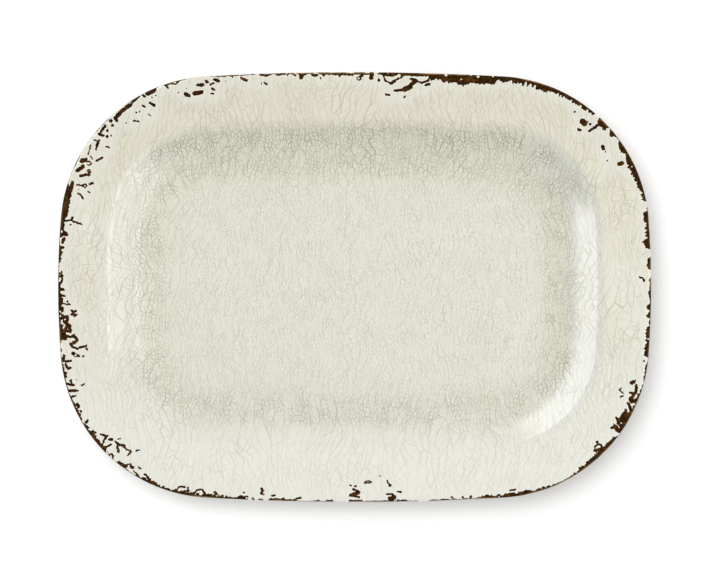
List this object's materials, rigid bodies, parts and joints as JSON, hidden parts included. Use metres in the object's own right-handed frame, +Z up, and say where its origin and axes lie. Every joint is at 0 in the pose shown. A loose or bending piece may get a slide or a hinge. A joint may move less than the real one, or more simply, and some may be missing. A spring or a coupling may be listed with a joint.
{
  "type": "serving platter",
  "caption": "Shallow rounded-rectangle ceramic serving platter with a broad rim, sloping wall and flat well, cream crackle glaze broken open over a dark brown edge, on a low unglazed foot.",
  "frame": {"origin": "centre of the footprint, on the plane that the foot stands on", "axes": "+X along the length, to the right as seen from above with +Y up the view, +Y along the width, +Z up out of the well"},
  "size_m": [0.4572, 0.3312, 0.032],
  "materials": {
    "fired_clay": "matt buff biscuit clay, hidden under the glaze",
    "dry_foot": "dry buff clay, ground smooth where it stands",
    "brown_slip": "satin dark brown iron slip, worn to tan on the lip",
    "crackle_glaze": "glossy cream glaze with a fine grey-green crackle, chipped back at the edge",
    "back_glaze": "glossy cream glaze, plainer than the face",
    "base_glaze": "glossy cream glaze inside the foot"
  },
  "bodies": {
    "root": {"clay_body": "fired_clay", "foot_ring": "dry_foot", "edge_slip": "brown_slip", "face_glaze": "crackle_glaze", "rim_back_glaze": "back_glaze", "base_glaze": "base_glaze"}
  },
  "joints": []
}
